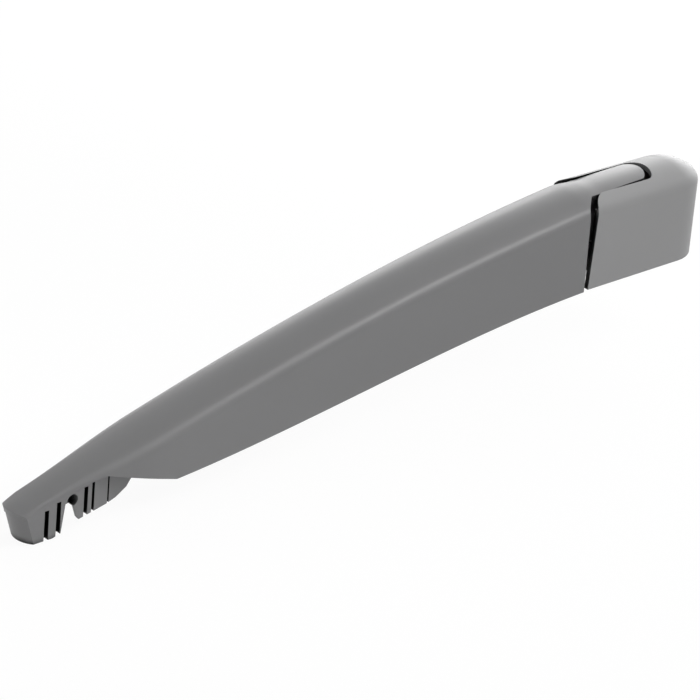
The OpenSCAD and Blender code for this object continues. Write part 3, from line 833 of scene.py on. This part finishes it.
SOLID_SLOTS = {
    "mounting_head": "head_cast",
    "spindle_bush": "bush_brass",
    "hinge_pin": "pin_steel",
    "hinge_bush_near": "hinge_bush",
    "hinge_bush_far": "hinge_bush",
    "spring_link": "link_steel",
    "link_pin": "pin_steel",
    "spring_anchor_pin": "pin_steel",
}


def dress(piece, slot):
    piece.data.materials.clear()
    piece.data.materials.append(MATERIALS[slot])


# The pieces on their bodies, and the solids that stay in sight
for piece in (arm_shell(), arm_webs(), end_walls(), cross_ribs(), blade_clip()):
    dress(piece, "arm_plastic")
    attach(piece, "arm")
    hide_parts("arm")
for piece in (head_cover_shell(), cover_bosses()):
    dress(piece, "cover_plastic")
    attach(piece, "cover")
    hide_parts("head_cover")
wire, wire_start, wire_end = spring_wire()
dress(wire, "spring_steel")
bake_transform(wire)
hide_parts("tension_spring")
for name, slot in SOLID_SLOTS.items():
    dress(bpy.data.objects[name], slot)


# Stage: pale floor, white surroundings, soft lamps
def seen_rays(tree):
    """One for what the camera, a reflection or glass sees, nought for the light that falls on things."""
    rays = node(tree, "ShaderNodeLightPath", (-600, 300)).outputs
    first = node(tree, "ShaderNodeMath", (-400, 300), {0: rays["Is Camera Ray"], 1: rays["Is Glossy Ray"]},
                 operation="MAXIMUM")
    both = node(tree, "ShaderNodeMath", (-200, 300), {0: first.outputs[0], 1: rays["Is Transmission Ray"]},
                operation="MAXIMUM")
    return both.outputs[0]


def white_surroundings():
    world = bpy.data.worlds.new("surroundings")
    bpy.context.scene.world = world
    tree = empty_tree(world)
    white = (1, 1, 1, 1)
    real = node(tree, "ShaderNodeBackground", (-200, 100), {"Color": white, "Strength": 0.55})
    shown = node(tree, "ShaderNodeBackground", (-200, -50), {"Color": white, "Strength": 1.0})
    both = node(tree, "ShaderNodeMixShader", (120, 100), {
        0: seen_rays(tree), 1: real.outputs[0], 2: shown.outputs[0],
    })
    node(tree, "ShaderNodeOutputWorld", (300, 100), {"Surface": both.outputs[0]})


def pale_floor():
    """A matt floor that is seen nearly white, keeps the object's shadow and is clear from below."""
    bm = bmesh.new()
    bmesh.ops.create_grid(bm, x_segments=1, y_segments=1, size=3)
    mesh = bpy.data.meshes.new("floor")
    bm.to_mesh(mesh)
    bm.free()
    floor = bpy.data.objects.new("floor", mesh)
    floor.location.z = min(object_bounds()[0][2], 0) - 0.5 * MM
    bpy.context.scene.collection.objects.link(floor)
    pale = bpy.data.materials.new("pale_floor")
    tree = empty_tree(pale)
    matt = node(tree, "ShaderNodeBsdfDiffuse", (-100, 0), {"Color": (0.86, 0.86, 0.86, 1)})
    glow = node(tree, "ShaderNodeEmission", (-100, -150), {"Strength": 1.0})
    share = node(tree, "ShaderNodeMath", (-100, 200), {0: seen_rays(tree), 1: 0.93}, operation="MULTIPLY")
    above = node(tree, "ShaderNodeMixShader", (200, 0), {
        0: share.outputs[0], 1: matt.outputs[0], 2: glow.outputs[0],
    })
    under = node(tree, "ShaderNodeNewGeometry", (200, 300)).outputs["Backfacing"]
    clear = node(tree, "ShaderNodeBsdfTransparent", (200, -150))
    both = node(tree, "ShaderNodeMixShader", (380, 0), {0: under, 1: above.outputs[0], 2: clear.outputs[0]})
    node(tree, "ShaderNodeOutputMaterial", (560, 0), {"Surface": both.outputs[0]})
    mesh.materials.append(pale)
    return floor


def lamp(name, place, aim, size, power, spread=180):
    light = bpy.data.lights.new(name, "AREA")
    light.shape = "RECTANGLE"
    light.size, light.size_y = size
    light.energy = power
    light.spread = math.radians(spread)
    one = bpy.data.objects.new(name, light)
    one.location = place
    one.rotation_euler = (Vector(aim) - Vector(place)).to_track_quat("-Z", "Y").to_euler()
    bpy.context.scene.collection.objects.link(one)


white_surroundings()
pale_floor()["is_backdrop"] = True
lamp("rim", (0.3, 0.5, 0.12), (-0.12, 0, 0.02), (0.75, 0.2), 1.6)
lamp("edge", (0.28, -0.46, 0.68), (-0.2, 0, 0), (0.5, 0.5), 2.5)
lamp("tip", (0.12, -0.36, 0.47), (-0.32, 0, -0.02), (0.3, 0.3), 0.11, 30)
lamp("key", (0.55, 0.25, 0.215), (0, 0, 0.03), (0.6, 0.5), 4.2)
lamp("fill", (-0.9, -0.9, 0.5), (-0.15, 0, 0), (0.9, 0.9), 1.5)

# Camera: the view fitted to the photograph, in degrees, millimetres and pixels per millimetre
CAMERA_TURN = math.radians(-41.495)
CAMERA_RISE = math.radians(27.739)
CAMERA_ROLL = math.radians(4.374)
CAMERA_DISTANCE = 2500
PICTURE_MIDDLE = (-123.66, -41.81)
PICTURE_SIZE = 700
PICTURE_SCALE = 2.48
SENSOR = 36


def photo_camera():
    side = Vector((math.cos(CAMERA_TURN), math.sin(CAMERA_TURN), 0))
    back = Vector((
        math.sin(CAMERA_TURN) * math.cos(CAMERA_RISE),
        -math.cos(CAMERA_TURN) * math.cos(CAMERA_RISE),
        math.sin(CAMERA_RISE),
    ))
    over = back.cross(side)
    right = math.cos(CAMERA_ROLL) * side + math.sin(CAMERA_ROLL) * over
    up = -math.sin(CAMERA_ROLL) * side + math.cos(CAMERA_ROLL) * over
    view = bpy.data.cameras.new("view")
    view.lens = SENSOR * PICTURE_SCALE * CAMERA_DISTANCE / PICTURE_SIZE
    view.sensor_width = SENSOR
    view.clip_end = 20
    camera = bpy.data.objects.new("view", view)
    place = (PICTURE_MIDDLE[0] * right + PICTURE_MIDDLE[1] * up + CAMERA_DISTANCE * back) * MM
    camera.matrix_world = Matrix.Translation(place) @ Matrix((right, up, back)).transposed().to_4x4()
    bpy.context.scene.collection.objects.link(camera)
    return camera


bpy.context.scene.camera = photo_camera()
bpy.context.scene.view_settings.view_transform = "Standard"
